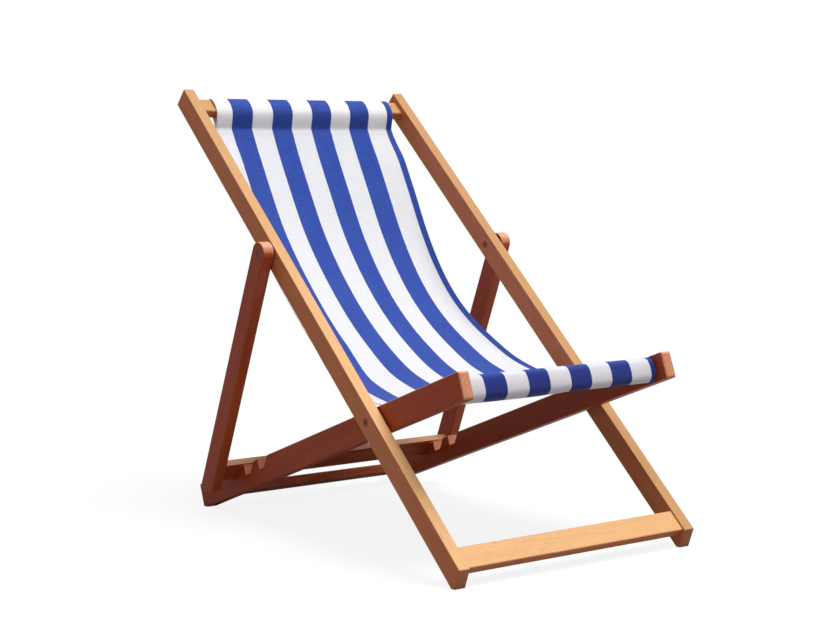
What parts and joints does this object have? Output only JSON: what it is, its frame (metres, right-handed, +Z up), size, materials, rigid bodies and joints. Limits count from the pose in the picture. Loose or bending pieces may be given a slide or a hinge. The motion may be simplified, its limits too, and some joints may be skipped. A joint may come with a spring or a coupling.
{
  "type": "folding deck chair",
  "caption": "Folding timber deck chair: leaning long frame, crossing notched seat frame, swinging prop frame and a hung striped canvas sling.",
  "frame": {"origin": "on the floor, under the middle of the chair's outline", "axes": "+X to the sitter's left, +Y to the rear, +Z up; the sitter faces -Y"},
  "size_m": [0.593, 0.9097, 0.8371],
  "materials": {
    "golden_timber": "oiled golden hardwood",
    "red_timber": "oiled red-brown hardwood",
    "striped_canvas": "woven canvas in blue and white lengthwise stripes",
    "bronzed_steel": "dark bronzed steel",
    "steel_washer": "zinc plated"
  },
  "bodies": {
    "long_frame": {"long_rail_right": "golden_timber", "long_rail_left": "golden_timber", "top_bar": "golden_timber", "foot_board": "golden_timber", "sling": "striped_canvas", "seat_pivot_bolt_right": "bronzed_steel", "seat_pivot_bolt_left": "bronzed_steel", "seat_pivot_nut_right": "bronzed_steel", "seat_pivot_nut_left": "bronzed_steel", "seat_pivot_washer_right": "steel_washer", "seat_pivot_washer_left": "steel_washer", "prop_pivot_bolt_right": "bronzed_steel", "prop_pivot_bolt_left": "bronzed_steel", "prop_pivot_nut_right": "bronzed_steel", "prop_pivot_nut_left": "bronzed_steel", "prop_pivot_washer_right": "steel_washer", "prop_pivot_washer_left": "steel_washer"},
    "seat_frame": {"seat_rail_right": "red_timber", "seat_rail_left": "red_timber", "seat_front_bar": "red_timber", "seat_rear_bar": "red_timber"},
    "prop_frame": {"prop_leg_right": "red_timber", "prop_leg_left": "red_timber", "prop_cross_bar": "red_timber"}
  },
  "joints": [
    {"name": "seat_fold", "type": "hinge", "parent": "long_frame", "child": "seat_frame", "pos_m": [0, -0.193, 0.245], "axis": [-1, 0, 0], "range_deg": [0, 108], "deforming": ["sling"]},
    {"name": "prop_fold", "type": "hinge", "parent": "long_frame", "child": "prop_frame", "pos_m": [0, 0.11358, 0.52396], "axis": [-1, 0, 0], "range_deg": [0, 62.64]}
  ],
  "couplings": [
    {"joint": "prop_fold", "follows": "seat_fold", "ratio": 0.58}
  ]
}
